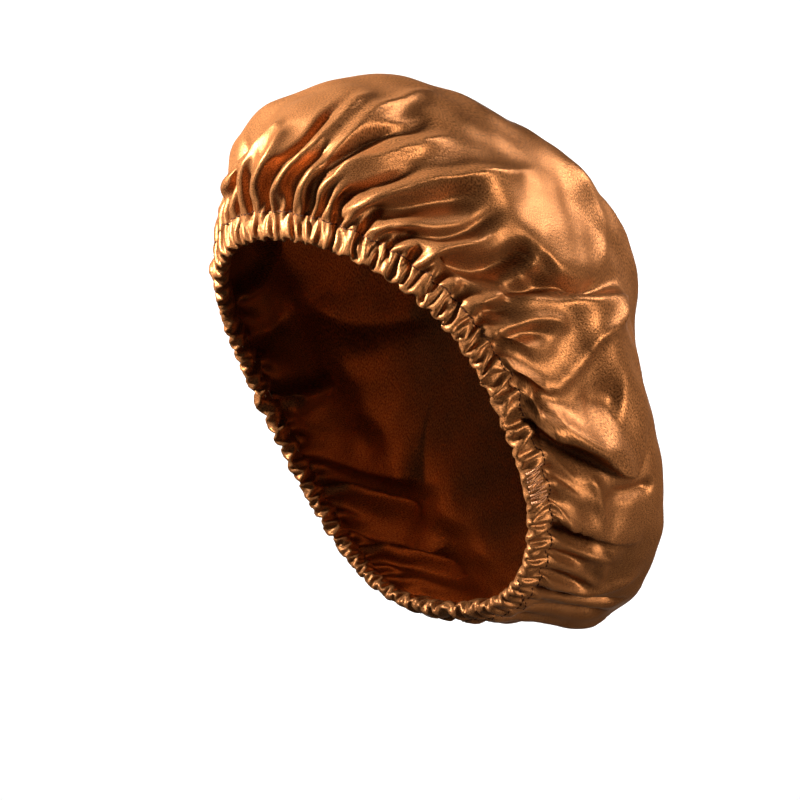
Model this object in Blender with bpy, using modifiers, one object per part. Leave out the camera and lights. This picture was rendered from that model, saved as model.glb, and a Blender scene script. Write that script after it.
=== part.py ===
"""A sleep bonnet of charmeuse satin, in the form that it keeps while it is worn.

Metres, +Z up. The front faces -Y and the wearer's left side is +X. The origin is the middle of
the elastic opening, which slants from the brow at the front down to the nape at the back.

The bonnet is one large round of cloth. Its edge is turned in to make a casing, and the elastic in
the casing draws it together, so that gathers run up from the casing and die out in a slack bag.
Every wall is laid out on one base surface, with two coordinates: `around`, in degrees from the
middle of the front towards +X, and `up`, from 0 at the fold of the casing to 1 at the top.
"""

import math

import bmesh
import bpy
import numpy as np

# Walls and fine sizes.
CLOTH_THICKNESS = 0.0012
ELASTIC_WIDTH = 0.006
ELASTIC_THICKNESS = 0.001

# Where the pieces end, as `up`. The casing is about 14 mm wide, and 0.001 of `up` is 0.28 mm there.
CASING_TOP = 0.050
CROWN_EDGE = 0.0520
COLLAR_TOP = 0.058
ELASTIC_MIDDLE = 0.024

# The elastic pulls inwards, so it lies this far inside the base surface, on the casing's inner layer.
ELASTIC_SINK = 0.0016

# The gathers. Each takes two columns of the mesh, one on its ridge and one in its valley.
GATHERS = 56
COLUMNS = 2 * GATHERS
CROWN_ROWS = 16
ROW_CROWDING = 1.35

# The waves of the gathers, each half as many as the one before. A wave is `depth` high at the
# casing, swells by `swell` a little above it, and has died out at about twice `reach`, in `up`.
WAVES = [
    # count,          depth,  swell,  swell_at, reach, sway, sway_turns
    (GATHERS,        0.0014, 0.0014,     0.04,  0.13,  0.0,          1),
    (GATHERS // 2,   0.0000, 0.0018,     0.10,  0.22,  1.3,          3),
    (GATHERS // 4,   0.0000, 0.0024,     0.20,  0.40,  2.1,          2),
]

# The base surface is lofted through slanted rings, from the casing's fold to the top. `front_*`
# and `back_*` are the points of the ring in the middle plane, `half_width` is its reach to each
# side, and `bow` lifts its sides out of the flat plane through those two points.
RINGS = [
    # up,  front_y, front_z,  back_y, back_z, half_width,   bow
    (0.00,  -0.066,   0.098,   0.066, -0.104,      0.091, 0.017),
    (0.05,  -0.067,   0.112,   0.078, -0.108,      0.095, 0.022),
    (0.14,  -0.077,   0.137,   0.107, -0.113,      0.099, 0.022),
    (0.28,  -0.064,   0.163,   0.169, -0.122,      0.103, 0.017),
    (0.46,  -0.038,   0.176,   0.190, -0.089,      0.107, 0.010),
    (0.66,   0.007,   0.188,   0.184,  0.007,      0.082, 0.005),
    (0.84,   0.062,   0.179,   0.181,  0.081,      0.059, 0.003),
    (1.00,   0.122,   0.137,   0.122,  0.137,      0.000, 0.000),
]
RING_SQUARENESS = 2.1
NAPE_SQUARENESS = 0.6
NAPE_SQUARENESS_END = 0.22

# Lengths that turn `around` and `up` into distances along the cloth, for the widths of folds.
GIRTH_AT_RIM = 0.74
GIRTH_AT_MIDDLE = 0.93
SLANT_LENGTH = 0.34

# The main folds. Each runs through three places, rises `lift` out of the base surface (or sinks
# into it), and falls away over `before` on the side nearer the front and `after` on the other. A
# fold that is wider on one side has a steep edge on the other, as slack cloth has where it hangs.
FOLDS = [
    # name,            around, up, around,  up, around,  up,   lift, before, after
    ("brow_lobe",         -16, 0.13,  -14, 0.30,  -8, 0.45,  0.004, 0.016, 0.016),
    ("brow_hook",          -4, 0.06,    8, 0.15,   7, 0.26,  0.005, 0.009, 0.006),
    ("brow_valley",         6, 0.08,   15, 0.19,  17, 0.40, -0.006, 0.015, 0.015),
    ("brow_ridge",          4, 0.06,   20, 0.24,  14, 0.57,  0.007, 0.007, 0.012),
    ("temple_valley",      12, 0.05,   27, 0.27,  34, 0.56, -0.007, 0.015, 0.015),
    ("temple_ridge",       18, 0.05,   31, 0.20,  40, 0.45,  0.007, 0.007, 0.010),
    ("temple_dip",         24, 0.08,   34, 0.16,  43, 0.30, -0.005, 0.015, 0.015),
    ("long_ridge",         24, 0.05,   45, 0.24,  62, 0.59,  0.007, 0.008, 0.008),
    ("long_valley",        36, 0.07,   50, 0.26,  57, 0.48, -0.006, 0.015, 0.015),
    ("ear_ridge",          32, 0.05,   45, 0.15,  52, 0.27,  0.004, 0.008, 0.008),
    ("ear_roll",           50, 0.05,   60, 0.17,  65, 0.42,  0.007, 0.009, 0.008),
    ("ear_hollow",         59, 0.08,   67, 0.19,  70, 0.40, -0.010, 0.015, 0.016),
    ("ear_lip",            68, 0.05,   74, 0.13,  80, 0.24,  0.007, 0.008, 0.007),
    ("shelf",              76, 0.28,   86, 0.48, 112, 0.69,  0.010, 0.030, 0.007),
    ("shelf_shadow",       84, 0.25,   94, 0.46, 122, 0.68, -0.006, 0.015, 0.015),
    ("side_valley",        77, 0.05,   82, 0.14,  86, 0.27, -0.006, 0.015, 0.015),
    ("side_roll",          80, 0.05,   86, 0.15,  92, 0.26,  0.005, 0.008, 0.008),
    ("diagonal_edge",      92, 0.20,   92, 0.40, 116, 0.66,  0.005, 0.012, 0.006),
    ("hanging_lip",        86, 0.06,  101, 0.15, 114, 0.32,  0.008, 0.016, 0.006),
    ("deep_hollow",        96, 0.05,  108, 0.16, 120, 0.30, -0.010, 0.015, 0.016),
    ("flat_pocket",       112, 0.09,  119, 0.17, 124, 0.26,  0.004, 0.010, 0.012),
    ("low_lip",           117, 0.05,  127, 0.17, 133, 0.30,  0.006, 0.010, 0.006),
    ("low_valley",        124, 0.05,  134, 0.15, 142, 0.24, -0.006, 0.015, 0.015),
    ("nape_roll",         133, 0.06,  142, 0.16, 149, 0.26,  0.005, 0.008, 0.008),
    ("nape_valley",       142, 0.05,  150, 0.15, 157, 0.29, -0.008, 0.015, 0.015),
    ("back_roll",         168, 0.06,  172, 0.20, 168, 0.40,  0.006, 0.014, 0.014),
    ("back_valley",       182, 0.05,  186, 0.20, 190, 0.42, -0.007, 0.015, 0.016),
    ("far_nape_roll",     204, 0.05,  201, 0.16, 196, 0.34,  0.006, 0.010, 0.012),
    ("far_nape_valley",   217, 0.05,  212, 0.16, 208, 0.30, -0.007, 0.015, 0.015),
    ("far_low_lip",       232, 0.05,  227, 0.17, 224, 0.34,  0.007, 0.008, 0.012),
    ("far_hollow",        247, 0.05,  242, 0.16, 238, 0.34, -0.009, 0.015, 0.015),
    ("far_hanging_lip",   262, 0.05,  254, 0.18, 246, 0.40,  0.008, 0.007, 0.014),
    ("far_shelf",         282, 0.24,  270, 0.44, 250, 0.62,  0.008, 0.008, 0.026),
    ("far_ear_hollow",    286, 0.06,  284, 0.18, 280, 0.34, -0.008, 0.015, 0.015),
    ("far_ear_roll",      300, 0.05,  298, 0.16, 294, 0.40,  0.007, 0.009, 0.009),
    ("far_long_valley",   313, 0.05,  307, 0.18, 303, 0.48, -0.006, 0.015, 0.015),
    ("far_long_ridge",    324, 0.05,  316, 0.20, 310, 0.52,  0.007, 0.009, 0.008),
    ("far_temple_valley", 335, 0.05,  329, 0.20, 326, 0.50, -0.006, 0.015, 0.015),
    ("far_brow_ridge",    345, 0.05,  340, 0.18, 340, 0.44,  0.006, 0.008, 0.008),
]
FOLD_STATIONS = 16

# The section of the casing, from its top outside, round its fold and up inside. `out` is the
# distance of its outer face from the base surface. It is widest where it holds the elastic, and
# the stitches pinch it at its top.
CASING_SECTION = [
    # up,       out
    (CASING_TOP,  0.0018),
    (0.036,       0.0040),
    (0.012,       0.0044),
    (-0.004,      0.0022),
    (-0.004,     -0.0022),
    (0.012,      -0.0044),
    (0.036,      -0.0040),
    (CASING_TOP, -0.0018),
]

# Finishes: name, sRGB colour, metallic, roughness.
SATIN = ("copper_brown_satin", "#B5703A", 0.35, 0.34)
RUBBER_BRAID = ("off_white_elastic", "#E8E0D2", 0.0, 0.8)


def between(at, places, values):
    """Reads a smooth curve through the table's values, with slopes taken from their neighbours."""
    slopes = np.empty_like(values)
    slopes[1:-1] = (values[2:] - values[:-2]) / (places[2:] - places[:-2])
    slopes[0] = (values[1] - values[0]) / (places[1] - places[0])
    slopes[-1] = (values[-1] - values[-2]) / (places[-1] - places[-2])
    start = np.clip(np.searchsorted(places, at, side="right") - 1, 0, len(places) - 2)
    step = places[start + 1] - places[start]
    s = (at - places[start]) / step
    return (
        (2 * s**3 - 3 * s**2 + 1) * values[start]
        + (s**3 - 2 * s**2 + s) * step * slopes[start]
        + (3 * s**2 - 2 * s**3) * values[start + 1]
        + (s**3 - s**2) * step * slopes[start + 1]
    )


def base_surface(around, up):
    """Points of the smooth bag, before gathers and folds."""
    rings = np.array(RINGS)
    front_y, front_z, back_y, back_z, half_width, bow = (
        between(up, rings[:, 0], rings[:, column]) for column in range(1, 7)
    )
    angle = np.radians(around)
    nape_share = NAPE_SQUARENESS * np.clip(1 - up / NAPE_SQUARENESS_END, 0, 1)
    squareness = RING_SQUARENESS + nape_share * (1 - np.cos(angle)) / 2
    along = np.sign(np.cos(angle)) * np.abs(np.cos(angle)) ** (2 / squareness)
    across = np.sign(np.sin(angle)) * np.abs(np.sin(angle)) ** (2 / squareness)
    half_y = (front_y - back_y) / 2
    half_z = (front_z - back_z) / 2
    half_length = np.hypot(half_y, half_z) + 1e-9
    lift = bow * np.sin(angle) ** 2
    return np.stack(
        [
            np.maximum(half_width, 0) * across,
            (front_y + back_y) / 2 + half_y * along + lift * half_z / half_length,
            (front_z + back_z) / 2 + half_z * along - lift * half_y / half_length,
        ],
        axis=-1,
    )


def outward(around, up):
    """Unit normals of the base surface, read a little below the top, where the rings close."""
    low = np.minimum(up, 0.97)
    round_step = base_surface(around + 0.5, low) - base_surface(around - 0.5, low)
    up_step = base_surface(around, low + 0.004) - base_surface(around, low - 0.004)
    normal = np.cross(round_step, up_step)
    normal /= np.linalg.norm(normal, axis=-1, keepdims=True)
    crest = np.clip((up - 0.9) / 0.1, 0, 1)[..., None]
    top_normal = np.array([0.0, math.sqrt(0.5), math.sqrt(0.5)])
    normal = normal * (1 - crest) + top_normal * crest
    return normal / np.linalg.norm(normal, axis=-1, keepdims=True)


def girth(up):
    """Length of one turn round the bag at this height, for the widths of folds."""
    return GIRTH_AT_RIM + (GIRTH_AT_MIDDLE - GIRTH_AT_RIM) * np.clip(up / 0.3, 0, 1)


def through(t, first, middle, last):
    """A parabola through three values, at t = 0, 0.5 and 1."""
    return first * (1 - t) * (1 - 2 * t) + middle * 4 * t * (1 - t) + last * t * (2 * t - 1)


def fold_relief(around, up, fold):
    """Height that one row of FOLDS adds at each point."""
    _, around_0, up_0, around_1, up_1, around_2, up_2, lift, before, after = fold
    best = np.full(np.shape(around), np.inf)
    side = np.zeros(np.shape(around))
    share = np.zeros(np.shape(around))
    for station in range(FOLD_STATIONS + 1):
        t = station / FOLD_STATIONS
        line_around = through(t, around_0, around_1, around_2)
        line_up = through(t, up_0, up_1, up_2)
        turn = (around - line_around + 180) % 360 - 180
        dx = turn / 360 * girth(up)
        dy = (up - line_up) * SLANT_LENGTH
        distance = np.hypot(dx, dy)
        nearer = distance < best
        best = np.where(nearer, distance, best)
        side = np.where(nearer, dx, side)
        share = np.where(nearer, t, share)
    reach = np.where(side < 0, before, after)
    fade = np.minimum(1, 0.2 + 3 * np.minimum(share, 1 - share))
    return lift * fade * np.exp(-((best / reach) ** 2))


def gather_relief(around, up):
    """The gathers: fine at the casing, joining into fewer and softer folds above it."""
    angle = np.radians(around)
    above = np.clip(up - COLLAR_TOP, 0, 1)
    uneven = 0.75 + 0.25 * np.sin(5 * angle + 1) * np.sin(9 * angle)
    relief = 0
    for count, depth, swell, swell_at, reach, sway, sway_turns in WAVES:
        height = depth + swell * (above / swell_at) * np.exp(1 - above / swell_at)
        height = height * uneven * np.exp(-((above / reach) ** 2))
        relief = relief + height * np.cos(count * angle + sway * np.sin(sway_turns * angle))
    return relief


def crown_relief(around, up):
    """Height of the crown's outer face over the base surface."""
    above = np.clip((up - COLLAR_TOP) / 0.06, 0, 1)
    rise = CASING_SECTION[0][1] * (1 - above) + 0.002 * np.sin(math.pi * above)
    folds = sum(fold_relief(around, up, fold) for fold in FOLDS)
    start = np.clip((up - COLLAR_TOP) / 0.03, 0, 1)
    return rise + gather_relief(around, up) + folds * start * np.clip((1 - up) / 0.2, 0, 1)


def casing_relief(around, out):
    """Height of the casing's face, whose two layers ripple together with the gathers."""
    return out + gather_relief(around, np.full(np.shape(around), CASING_TOP))


def finish_material(name, colour, metallic, roughness):
    """A Principled material from an sRGB hex colour."""
    material = bpy.data.materials.new(name)
    material.use_nodes = True
    shader = material.node_tree.nodes["Principled BSDF"]
    channels = [int(colour[i : i + 2], 16) / 255 for i in (1, 3, 5)]
    linear = [c / 12.92 if c <= 0.04045 else ((c + 0.055) / 1.055) ** 2.4 for c in channels]
    shader.inputs["Base Color"].default_value = (*linear, 1.0)
    shader.inputs["Metallic"].default_value = metallic
    shader.inputs["Roughness"].default_value = roughness
    return material


def around_of(shape):
    """The direction of each vertex from the upright axis, in degrees from the front towards +X."""
    return np.array([math.degrees(math.atan2(vertex.co.x, -vertex.co.y)) for vertex in shape.verts])


def place_vertices(shape, around, up, height):
    """Moves every vertex to its place: on the base surface, and `height` out of it."""
    points = base_surface(around, up) + outward(around, up) * height[:, None]
    for vertex, point in zip(shape.verts, points):
        vertex.co = point


def add_cloth(name, shape, thickness, offset, material, collection):
    """Makes an object of an open surface and gives it a wall."""
    bmesh.ops.recalc_face_normals(shape, faces=shape.faces)
    mesh = bpy.data.meshes.new(name)
    shape.to_mesh(mesh)
    shape.free()
    mesh.materials.append(material)
    mesh.shade_smooth()
    piece = bpy.data.objects.new(name, mesh)
    collection.objects.link(piece)
    wall = piece.modifiers.new("wall", "SOLIDIFY")
    wall.thickness = thickness
    wall.offset = offset
    wall.use_even_offset = True
    wall.thickness_clamp = 1.0
    return piece


def ring_sheet(columns, rows):
    """A closed band, with `around` and a share from 0 to 1 across it for each vertex."""
    shape = bmesh.new()
    bmesh.ops.create_cone(shape, segments=columns, radius1=1, radius2=1, depth=1)
    uprights = [edge for edge in shape.edges if abs(edge.verts[0].co.z - edge.verts[1].co.z) > 0.5]
    bmesh.ops.subdivide_edges(shape, edges=uprights, cuts=rows - 1, use_grid_fill=True)
    share = np.array([vertex.co.z + 0.5 for vertex in shape.verts])
    return shape, around_of(shape), share


def build_crown(material, collection):
    """The bag: the upper rows of a sphere, laid on the base surface."""
    shape = bmesh.new()
    bmesh.ops.create_uvsphere(shape, u_segments=COLUMNS, v_segments=CROWN_ROWS + 1, radius=1)
    lowest = min(shape.verts, key=lambda vertex: vertex.co.z)
    bmesh.ops.delete(shape, geom=[lowest], context="VERTS")
    polar = np.array([math.acos(max(-1.0, min(1.0, vertex.co.z))) for vertex in shape.verts])
    row = CROWN_ROWS - polar / math.pi * (CROWN_ROWS + 1)
    climb = np.clip((row - 1) / (CROWN_ROWS - 1), 0, 1)
    up = np.where(row < 0.5, CROWN_EDGE, COLLAR_TOP + (1 - COLLAR_TOP) * climb**ROW_CROWDING)
    around = around_of(shape)
    place_vertices(shape, around, up, crown_relief(around, up))
    return add_cloth("crown", shape, CLOTH_THICKNESS, -1, material, collection)


def build_casing(material, collection):
    """The turned-in edge, open at the stitch line, with the elastic's channel inside it."""
    section = np.array(CASING_SECTION)
    shape, around, share = ring_sheet(COLUMNS, len(section) - 1)
    station = np.rint(share * (len(section) - 1)).astype(int)
    up, out = section[station].T
    place_vertices(shape, around, up, casing_relief(around, out))
    return add_cloth("casing", shape, CLOTH_THICKNESS, -1, material, collection)


def build_elastic(material, collection):
    """The flat elastic, a closed ring that lies on the channel's inner layer."""
    shape, around, share = ring_sheet(GATHERS, 1)
    rim_width = np.linalg.norm(base_surface(0.0, CASING_TOP) - base_surface(0.0, 0.0))
    up = ELASTIC_MIDDLE + (share - 0.5) * ELASTIC_WIDTH * CASING_TOP / rim_width
    place_vertices(shape, around, up, np.full(len(around), -ELASTIC_SINK))
    return add_cloth("elastic", shape, ELASTIC_THICKNESS, 0, material, collection)


def main():
    for leftover in list(bpy.data.objects):
        bpy.data.objects.remove(leftover, do_unlink=True)
    collection = bpy.data.collections.new("sleep_bonnet")
    bpy.context.scene.collection.children.link(collection)
    satin = finish_material(*SATIN)
    rubber_braid = finish_material(*RUBBER_BRAID)
    build_crown(satin, collection)
    build_casing(satin, collection)
    build_elastic(rubber_braid, collection)


main()
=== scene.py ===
"""A slouching sleep bonnet of copper-brown charmeuse satin, in the form that it keeps while worn.

Metres, +Z up, front towards -Y. The whole bonnet is one round of cloth. The script lays a grid of
points on the smooth base surface of the bag, raises the folds charted on it, gives the cloth the
extra length that the elastic gathers, and relaxes it until the gathers have formed. The grid is
then cut at the stitch line into the crown and the casing.
"""

import math

import bpy
import numpy as np
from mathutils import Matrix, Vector


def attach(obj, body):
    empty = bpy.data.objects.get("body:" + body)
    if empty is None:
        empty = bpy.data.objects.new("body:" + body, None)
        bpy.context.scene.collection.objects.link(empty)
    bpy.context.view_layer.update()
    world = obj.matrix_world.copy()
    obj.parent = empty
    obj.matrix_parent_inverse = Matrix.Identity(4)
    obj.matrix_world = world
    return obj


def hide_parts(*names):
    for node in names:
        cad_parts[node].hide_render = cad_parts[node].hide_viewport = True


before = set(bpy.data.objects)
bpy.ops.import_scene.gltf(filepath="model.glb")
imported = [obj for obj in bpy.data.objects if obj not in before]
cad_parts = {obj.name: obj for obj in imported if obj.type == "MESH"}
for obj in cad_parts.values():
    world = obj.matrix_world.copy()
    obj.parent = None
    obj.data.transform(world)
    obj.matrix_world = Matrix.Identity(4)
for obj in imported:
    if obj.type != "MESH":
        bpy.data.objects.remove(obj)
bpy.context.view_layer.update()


def put_in_scene(name, data):
    """An object with this mesh, lamp or camera in it."""
    made = bpy.data.objects.new(name, data)
    bpy.context.scene.collection.objects.link(made)
    return made


# ---- camera

PICTURE_SIZE = 800
SENSOR = 36.0
LENS = 141.5
CAMERA_AZIMUTH = 45.0
CAMERA_ELEVATION = 0.5
CAMERA_DISTANCE = 1.7
AIM = np.array([0.016, 0.016, 0.012])


def direction(azimuth, elevation):
    """Unit vector from the aim towards something that stands at these angles, in degrees."""
    a, e = math.radians(azimuth), math.radians(elevation)
    return np.array([math.sin(a) * math.cos(e), -math.cos(a) * math.cos(e), math.sin(e)])


def to_picture(points):
    """Where points of the model fall in the picture, in its pixels."""
    back = direction(CAMERA_AZIMUTH, CAMERA_ELEVATION)
    right = direction(CAMERA_AZIMUTH + 90, 0)
    d = points - (AIM + CAMERA_DISTANCE * back)
    scale = PICTURE_SIZE * LENS / SENSOR / -(d @ back)
    return PICTURE_SIZE / 2 + scale * (d @ right), PICTURE_SIZE / 2 - scale * (d @ np.cross(back, right))


def add_camera():
    """The camera, where it stood for the photograph."""
    camera = put_in_scene("camera", bpy.data.cameras.new("camera"))
    back = Vector(direction(CAMERA_AZIMUTH, CAMERA_ELEVATION))
    camera.location = Vector(AIM) + CAMERA_DISTANCE * back
    camera.rotation_euler = (-back).to_track_quat("-Z", "Y").to_euler()
    camera.data.lens = LENS
    camera.data.sensor_width = SENSOR
    bpy.context.scene.camera = camera


# ---- base surface

# Slanted rings from the casing's fold to the top, as in the solids. `front_*` and `back_*` are the
# ring's points in the middle plane, and `bow` lifts its sides out of the flat plane through them.
RINGS = np.array([
    # up,  front_y, front_z,  back_y, back_z, half_width,   bow
    (0.00,  -0.066,   0.098,   0.066, -0.104,      0.091, 0.017),
    (0.05,  -0.067,   0.112,   0.078, -0.108,      0.095, 0.022),
    (0.14,  -0.077,   0.137,   0.107, -0.113,      0.099, 0.022),
    (0.28,  -0.064,   0.163,   0.169, -0.122,      0.103, 0.017),
    (0.46,  -0.038,   0.176,   0.190, -0.089,      0.107, 0.010),
    (0.66,   0.007,   0.188,   0.184,  0.007,      0.082, 0.005),
    (0.84,   0.062,   0.179,   0.181,  0.081,      0.059, 0.003),
    (1.00,   0.122,   0.137,   0.122,  0.137,      0.000, 0.000),
])
# How square the rings are, 2 being an ellipse, how much squarer at the nape, and up to which `up`.
RING_SQUARENESS = 2.1
NAPE_SQUARENESS = 0.6
NAPE_SQUARENESS_END = 0.22
STITCH_LINE = 0.050  # `up` of the stitches between casing and crown


def read_curve(at, places, values):
    """Reads a smooth curve through the table's values, with slopes taken from their neighbours."""
    slopes = np.empty_like(values)
    slopes[1:-1] = (values[2:] - values[:-2]) / (places[2:] - places[:-2])
    slopes[0] = (values[1] - values[0]) / (places[1] - places[0])
    slopes[-1] = (values[-1] - values[-2]) / (places[-1] - places[-2])
    start = np.clip(np.searchsorted(places, at, side="right") - 1, 0, len(places) - 2)
    step = places[start + 1] - places[start]
    s = (at - places[start]) / step
    return (
        (2 * s**3 - 3 * s**2 + 1) * values[start]
        + (s**3 - 2 * s**2 + s) * step * slopes[start]
        + (3 * s**2 - 2 * s**3) * values[start + 1]
        + (s**3 - s**2) * step * slopes[start + 1]
    )


def base_surface(around, up):
    """Points of the smooth bag. `around` is in degrees, from the front towards the wearer's left."""
    front_y, front_z, back_y, back_z, half_width, bow = (
        read_curve(up, RINGS[:, 0], RINGS[:, column]) for column in range(1, 7)
    )
    angle = np.radians(around)
    nape_share = NAPE_SQUARENESS * np.clip(1 - up / NAPE_SQUARENESS_END, 0, 1)
    squareness = RING_SQUARENESS + nape_share * (1 - np.cos(angle)) / 2
    along = np.sign(np.cos(angle)) * np.abs(np.cos(angle)) ** (2 / squareness)
    across = np.sign(np.sin(angle)) * np.abs(np.sin(angle)) ** (2 / squareness)
    half_y, half_z = (front_y - back_y) / 2, (front_z - back_z) / 2
    half_length = np.hypot(half_y, half_z) + 1e-9
    lift = bow * np.sin(angle) ** 2
    return np.stack([
        np.maximum(half_width, 0) * across,
        (front_y + back_y) / 2 + half_y * along + lift * half_z / half_length,
        (front_z + back_z) / 2 + half_z * along - lift * half_y / half_length,
    ], axis=-1)


def outward(around, up):
    """Unit normals of the base surface. Where its rings close, at the top, they all turn up and back."""
    low = np.minimum(up, 0.97)
    round_step = base_surface(around + 0.5, low) - base_surface(around - 0.5, low)
    up_step = base_surface(around, low + 0.004) - base_surface(around, low - 0.004)
    normal = unit(np.cross(round_step, up_step))
    crest = np.clip((up - 0.9) / 0.1, 0, 1)[..., None]
    return unit(normal * (1 - crest) + np.array([0.0, math.sqrt(0.5), math.sqrt(0.5)]) * crest)


def unit(vectors):
    return vectors / (np.linalg.norm(vectors, axis=-1, keepdims=True) + 1e-12)


def dots(a, b):
    """The dot product of each vector with its partner."""
    return np.einsum("...k,...k->...", a, b)


# ---- the chart of folds

# Each fold rises `lift` millimetres out of the bag, or sinks into it, and falls away over `left`
# and `right` millimetres, on its left and right as one goes along it from the casing. The folds
# that the camera sees are charted where they run in the picture, in its pixels.
SEEN_FOLDS = [
    # name, lift, left, right, (x, y) along it
    ("brow_gap",      -5, 3, 5, (223,238), (223,208), (228,185), (232,162)),
    ("brow_fold",      4, 6, 6, (240,232), (238,205), (240,180), (246,160), (258,137)),
    ("brow_dart",     -3, 3, 3, (234,212), (234,192), (236,172)),
    ("hook",           6, 4, 3, (255,222), (257,200), (262,180), (272,158), (282,136), (286,122)),
    ("hook_back",      3, 5, 4, (285,118), (272,125), (258,139), (246,153)),
    ("brow_valley",   -5, 3, 3.5, (267,218), (270,190), (282,165), (305,139), (335,108), (365,88)),
    ("brow_crease",    6, 7, 3, (276,218), (278,195), (286,178), (300,161), (318,146), (345,120), (365,101),
        (378,86)),
    ("brow_hollow",   -3, 3, 3, (288,208), (296,188), (310,165), (330,143)),
    ("short_roll",     4, 4, 4, (292,218), (300,196), (313,174), (323,155)),
    ("temple_edge",    5, 4, 3, (302,222), (308,197), (329,165), (353,137), (384,111), (414,93), (445,88)),
    ("temple_valley", -6, 3, 5, (309,220), (315,195), (328,170), (345,152), (370,137), (400,126), (440,112)),
    ("temple_ridge",   7, 3, 7, (316,228), (318,197), (324,177), (342,165), (376,159), (407,148), (433,139),
        (462,129)),
    ("temple_dip",    -4, 4, 4, (328,224), (337,205), (353,196), (375,186), (400,178), (425,172)),
    ("long_ridge",     7, 4, 6, (331,236), (338,218), (350,207), (370,199), (400,189), (440,180), (480,175),
        (515,173), (545,168)),
    ("long_valley",   -5, 4, 9, (350,232), (362,215), (385,207), (410,203), (440,197), (470,193), (495,186)),
    ("ear_crease",     5, 4, 4, (352,252), (358,238), (368,230), (385,226), (410,224), (440,218)),
    ("ear_dip",       -5, 4, 4, (364,254), (372,241), (395,235), (420,238), (450,236), (480,224), (506,200)),
    ("ear_loop",       4, 3, 4, (366,268), (384,257), (406,248), (430,243), (450,240)),
    ("ear_loop_low",   6, 3, 3, (398,279), (405,274), (418,264), (432,254), (455,246), (483,240), (510,222)),
    ("ear_hollow",   -10, 6, 11, (425,285), (440,268), (455,262), (490,264), (516,256), (533,238)),
    ("ear_knot",       4, 4, 4, (437,300), (441,280), (450,275), (458,290)),
    ("ear_lip",        7, 4, 4, (444,318), (462,316), (480,304), (496,294), (510,293)),
    ("ear_lip_shade", -5, 4, 4, (452,328), (470,322), (492,312), (512,304)),
    ("shelf",          5, 3, 14, (500,301), (520,300), (545,299), (577,298), (604,297), (624,293)),
    ("shelf_shadow",  -9, 9, 3, (498,291), (520,294), (550,295), (580,295), (606,290), (620,278)),
    ("hollow_bump",    3, 6, 6, (500,275), (516,268), (530,265), (543,270)),
    ("hollow_dart",   -2.5, 8, 8, (534,288), (543,274), (555,258)),
    ("back_bulge",     3, 9, 9, (562,150), (582,180), (596,214), (601,248), (599,284)),
    ("side_roll",      5, 4, 6, (461,342), (475,338), (492,330), (510,324), (535,321), (558,323), (568,335)),
    ("side_valley",   -5, 4, 4, (469,354), (480,352), (500,343), (524,332), (552,332)),
    ("side_roll_low",  3, 4, 4, (474,362), (488,354), (520,345), (562,350)),
    ("rim_dimple",    -4, 4, 4, (480,371), (492,366), (505,372)),
    ("side_dart",     -3, 3, 3, (508,366), (516,382), (524,402)),
    ("side_dart_low", -3, 3, 3, (530,385), (536,402), (543,418)),
    ("diagonal_edge",  5, 8, 2.7, (546,396), (557,386), (580,363), (601,336), (618,309), (627,294)),
    ("hip_ridge",      5, 5, 6, (556,388), (551,412), (563,426), (589,437), (610,442), (632,460)),
    ("hip_hollow",    -3, 12, 12, (575,400), (600,402), (625,405)),
    ("hanging_lip",   10, 12, 3.2, (488,386), (503,398), (524,413), (550,428), (589,444), (610,459),
        (632,470), (640,474)),
    ("deep_hollow",   -9, 5, 13, (499,408), (510,414), (535,428), (560,440), (589,455), (620,470)),
    ("far_crease",    -3, 4, 4, (600,494), (622,492), (640,488), (655,480)),
    ("pocket_edge",   -4, 3, 3, (545,456), (548,480), (546,508)),
    ("pocket_ridge",   4, 4, 4, (585,466), (593,486), (598,508), (601,530)),
    ("low_lip",        7, 10, 3.2, (534,505), (548,514), (563,521), (589,528), (615,534), (640,539)),
    ("low_shadow",    -7, 5, 9, (540,517), (560,527), (585,536), (610,543)),
    ("nape_rib",       4, 3, 3, (545,540), (565,547), (590,556), (606,560)),
    ("nape_rib_low",   4, 3, 3, (545,556), (560,564), (585,578), (598,588)),
    ("nape_dip",      -4, 3, 3, (543,548), (562,556), (590,567)),
    ("nape_dip_low",  -4, 3, 3, (541,566), (560,576), (590,592)),
    ("nape_upright",   5, 4, 4, (612,540), (610,556), (602,564), (598,590)),
    ("nape_roll",      5, 4, 4, (530,570), (550,584), (578,592), (600,590), (625,582), (645,568)),
    ("nape_fold",     -5, 3, 4, (524,574), (550,591), (578,602), (606,606), (630,598)),
]

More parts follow.
